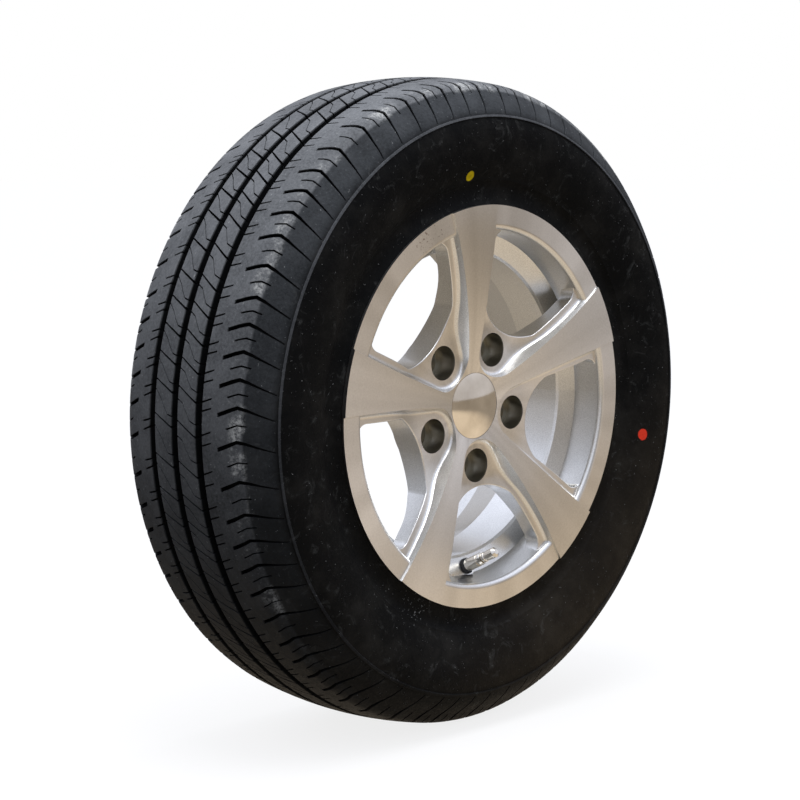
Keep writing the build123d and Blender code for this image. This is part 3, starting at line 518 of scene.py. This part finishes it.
def pieceFinish(name, look):
    # one metal, plastic or rubber: two shades in clouds, fine grain in the roughness and the surface
    mat = newMaterial(name)
    place = addNode(mat, "ShaderNodeTexCoord").outputs["Object"]
    cloud = addNode(mat, "ShaderNodeTexNoise", {"Vector": place, "Scale": look["cloud"], "Detail": 4.0}).outputs[0]
    grain = addNode(mat, "ShaderNodeTexNoise", {"Vector": place, "Scale": look["grain"], "Detail": 2.0}).outputs[0]
    share = addNode(mat, "ShaderNodeMapRange", (cloud, 0.3, 0.7)).outputs[0]
    colour = addNode(mat, "ShaderNodeMix", {
        0: share, 6: linear(look["dark"]), 7: linear(look["light"])}, **asColour).outputs[2]
    rough = addNode(mat, "ShaderNodeMapRange", (
        grain, 0.3, 0.7, look["rough"] * 0.75, look["rough"] * 1.25)).outputs[0]
    bump = addNode(mat, "ShaderNodeBump", {
        "Strength": look["bump"], "Distance": 0.2 * mm, "Height": grain}).outputs[0]
    shader = addNode(mat, "ShaderNodeBsdfPrincipled", {
        "Base Color": colour, "Metallic": look["metallic"], "Roughness": rough, "Normal": bump})
    addNode(mat, "ShaderNodeOutputMaterial", {"Surface": shader.outputs[0]})
    return mat


finishes = {
    ("wheel",): wheelFinish(wheelLook),
    # the bright bare disc in the middle
    ("centre_cap",): pieceFinish("chromedAbs", capSilver),
    # sharp small highlights low in the wheel
    ("valve_sleeve", "valve_cap"): pieceFinish("chromedBrass", chrome),
    # yellow metal once the cap is off
    ("valve_stem", "core_housing", "core_pin", "core_cup"): pieceFinish("turnedBrass", brass),
    # dull grey wire
    ("cap_ring", "core_spring"): pieceFinish("springSteel", steel),
    # the black collar under the sleeve
    ("valve_body",): pieceFinish("valveRubber", valveRubber),
    # soft black rings inside the valve
    ("core_gasket", "core_seal", "valve_cap_seal"): pieceFinish("sealRubber", sealRubber),
}
for names, mat in finishes.items():
    for name in names:
        nodes[name].data.materials.clear()
        nodes[name].data.materials.append(mat)
print("finishes:", sum(len(names) for names in finishes), "nodes")


# valve spring, which shortens as the pin is pressed
springSpec = {"wire": 0.3, "turns": 4, "play": 0.04, "steps": 120, "sides": 8, "smoothAngle": 50}


def nodePoints(name):
    flat = np.empty(len(nodes[name].data.vertices) * 3)
    nodes[name].data.vertices.foreach_get("co", flat)
    return flat.reshape(-1, 3)


def buildSpring(spec):
    # round wire carried along a helix about the pin's axis, from the lip that it stands on to the pin's collar
    press = next(joint for joint in frame["joints"] if joint["name"] == "core_pin_press")
    inward = np.array(press["axis"]) / np.linalg.norm(press["axis"])
    side = np.cross(inward, (1.0, 0.0, 0.0))
    side = side / np.linalg.norm(side)
    other = np.cross(inward, side)
    pin, coil = nodePoints("core_pin"), nodePoints("core_spring")
    centre = sum(way * ((pin @ way).min() + (pin @ way).max()) / 2 for way in (side, other))
    foot, head = (coil @ inward).max(), (coil @ inward).min()
    half, play = spec["wire"] / 2 * mm, spec["play"] * mm
    radius = np.hypot((coil - centre) @ side, (coil - centre) @ other).max() - half

    steps, sides = spec["steps"], spec["sides"]
    turn = np.linspace(0, 2 * math.pi * spec["turns"], steps)[:, None]
    level = np.linspace(foot - half - play, head + half + play, steps)[:, None]
    out = np.cos(turn) * side + np.sin(turn) * other
    path = centre + level * inward + radius * out
    ahead = np.gradient(path, axis=0)
    across = np.cross(ahead / np.linalg.norm(ahead, axis=1, keepdims=True), out)
    about = np.linspace(0, 2 * math.pi, sides, endpoint=False)[None, :, None]
    points = path[:, None] + half * (np.cos(about) * out[:, None] + np.sin(about) * across[:, None])
    quads = ringFaces(steps, sides)[:-sides].tolist()
    ends = [list(range(sides))[::-1], list(range((steps - 1) * sides, steps * sides))]
    spring = meshPiece("coreSpringWire", points.reshape(-1, 3), quads + ends, spec["smoothAngle"])
    spring.data.materials.append(nodes["core_spring"].data.materials[0])
    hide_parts("core_spring")
    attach(spring, "rolling_wheel")
    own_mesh(spring)


buildSpring(springSpec)


# floor
floorSpec = {
    "level": -296.2, "size": 40000.0, "smoothAngle": 30,
    "paper": "#444442", "mirrored": "#F8E6CE", "seen": "#FFFFFF", "seenShare": 0.82, "mirroredShare": 0.34,
    # in the metal the floor shows a painted pool of light in front, in metres
    "poolShare": 0.9, "poolAt": (-0.1, -0.8, -0.296), "poolReach": (0.7, 1.4),
}


def buildFloor(spec):
    s, z = spec["size"] / 2 * mm, spec["level"] * mm
    points = np.array([(-s, -s, z), (s, -s, z), (s, s, z), (-s, s, z)])
    floor = meshPiece("studioFloor", points, [[0, 1, 2, 3]], spec["smoothAngle"])
    # white paper: the camera sees it as white with a faint shadow, and it throws only a little light back up; in the
    # metal it glows warm, as painted light
    mat = newMaterial("whitePaperSweep")
    rays = addNode(mat, "ShaderNodeLightPath")
    byCamera, byGloss = rays.outputs["Is Camera Ray"], rays.outputs["Is Glossy Ray"]
    white = linear(spec["seen"])
    colour, shown = (
        addNode(mat, "ShaderNodeMix", {0: byCamera, 6: linear(spec[key]), 7: white}, **asColour).outputs[2]
        for key in ("paper", "mirrored"))
    paper = addNode(mat, "ShaderNodeBsdfDiffuse", {"Color": colour}).outputs[0]
    glow = addNode(mat, "ShaderNodeEmission", {"Color": shown, "Strength": 1.0}).outputs[0]
    seen = addNode(mat, "ShaderNodeMath", (byCamera, spec["seenShare"]), operation="MULTIPLY").outputs[0]
    place = addNode(mat, "ShaderNodeTexCoord").outputs["Object"]
    away = addNode(mat, "ShaderNodeVectorMath", (place, spec["poolAt"]), operation="DISTANCE").outputs["Value"]
    paintedPool = addNode(mat, "ShaderNodeMapRange", (
        away, *spec["poolReach"], spec["poolShare"], spec["mirroredShare"]), **smooth).outputs[0]
    share = addNode(mat, "ShaderNodeMath", (byGloss, paintedPool, seen), operation="MULTIPLY_ADD").outputs[0]
    both = addNode(mat, "ShaderNodeMixShader", (share, paper, glow)).outputs[0]
    addNode(mat, "ShaderNodeOutputMaterial", {"Surface": both})
    floor.data.materials.append(mat)


# light
lightSpec = {
    "low": 0.11, "lowColour": "#FFF1E0", "highColour": "#E9EEFD", "seen": "#FFFFFF",
    "lobes": (  # where the room is brighter, by how much, and from which cosine to which it rises
        ((0.0, 0.0, 1.0), 1.30, 0.15, 0.95),  # lamps overhead
        ((-0.45, 0.88, 0.15), 0.60, 0.30, 0.95),  # a window behind, which shines into the barrel
        ((-0.70, -0.70, 0.14), 0.80, 0.80, 0.98),  # a lit wall behind the camera, in the roundings that face it
        ((0.69, -0.69, 0.20), 0.62, 0.50, 0.98),  # a pale wall in front on the right, mirrored by the turned faces
    ),
    "softbox": {"place": (-0.3, -0.4, 2.2), "turn": (0.15, -0.12, 0.0), "width": 1.5, "power": 34.0},
}


def buildLight(spec):
    # a pale room: warm and dim low down, cool and bright overhead and behind,
    # white where the camera looks past the wheel
    world = bpy.data.worlds.new("studio")
    scene.world = world
    world.use_nodes = True
    world.node_tree.nodes.clear()
    way = addNode(world, "ShaderNodeTexCoord").outputs["Generated"]
    bright = 0.0
    for toward, strength, start, end in spec["lobes"]:
        cosine = addNode(world, "ShaderNodeVectorMath", (way, toward), operation="DOT_PRODUCT").outputs["Value"]
        lobe = addNode(world, "ShaderNodeMapRange", (cosine, start, end, 0.0, strength), **smooth).outputs[0]
        bright = addNode(world, "ShaderNodeMath", (lobe, bright), operation="ADD").outputs[0]
    total = addNode(world, "ShaderNodeMath", (bright, spec["low"]), operation="ADD").outputs[0]
    tint = addNode(world, "ShaderNodeMix", {
        0: bright, 6: linear(spec["lowColour"]), 7: linear(spec["highColour"])}, **asColour).outputs[2]
    room = addNode(world, "ShaderNodeBackground", {"Color": tint, "Strength": total}).outputs[0]
    white = addNode(world, "ShaderNodeBackground", {"Color": linear(spec["seen"]), "Strength": 1.0}).outputs[0]
    byCamera = addNode(world, "ShaderNodeLightPath").outputs["Is Camera Ray"]
    sky = addNode(world, "ShaderNodeMixShader", (byCamera, room, white)).outputs[0]
    addNode(world, "ShaderNodeOutputWorld", {"Surface": sky})

    box = spec["softbox"]
    lamp = bpy.data.lights.new("overheadSoftbox", "AREA")
    lamp.size, lamp.energy = box["width"], box["power"]
    obj = bpy.data.objects.new("overheadSoftbox", lamp)
    obj.location, obj.rotation_euler = box["place"], box["turn"]
    scene.collection.objects.link(obj)


# camera: angles, distance and offsets found by fitting the rim's circles in the photograph
cameraSpec = {
    "azimuth": -45.652, "elevation": 7.007, "distance": 1930.14,
    "sideways": -80.0, "upward": 6.674, "lipDepth": -56.0,
    "lens": 96.425, "sensor": 36.0,
}


def buildCamera(spec):
    azimuth, elevation = math.radians(spec["azimuth"]), math.radians(spec["elevation"])
    level = math.cos(elevation)
    back = np.array([math.sin(azimuth) * level, -math.cos(azimuth) * level, math.sin(elevation)])
    right = np.array([math.cos(azimuth), math.sin(azimuth), 0.0])
    up = np.cross(back, right)
    aim = right * spec["sideways"] + up * spec["upward"] + (0, spec["lipDepth"], 0)
    place = (back * spec["distance"] + aim) * mm
    data = bpy.data.cameras.new("photoCamera")
    data.lens, data.sensor_width, data.sensor_fit = spec["lens"], spec["sensor"], "HORIZONTAL"
    camera = bpy.data.objects.new("photoCamera", data)
    rows = np.stack([right, up, back, place], -1).tolist()
    camera.matrix_world = Matrix(rows + [[0, 0, 0, 1]])
    scene.collection.objects.link(camera)
    scene.camera = camera


buildFloor(floorSpec)
buildLight(lightSpec)
buildCamera(cameraSpec)
scene.view_settings.view_transform = "Standard"
print("floor, light and camera ready")
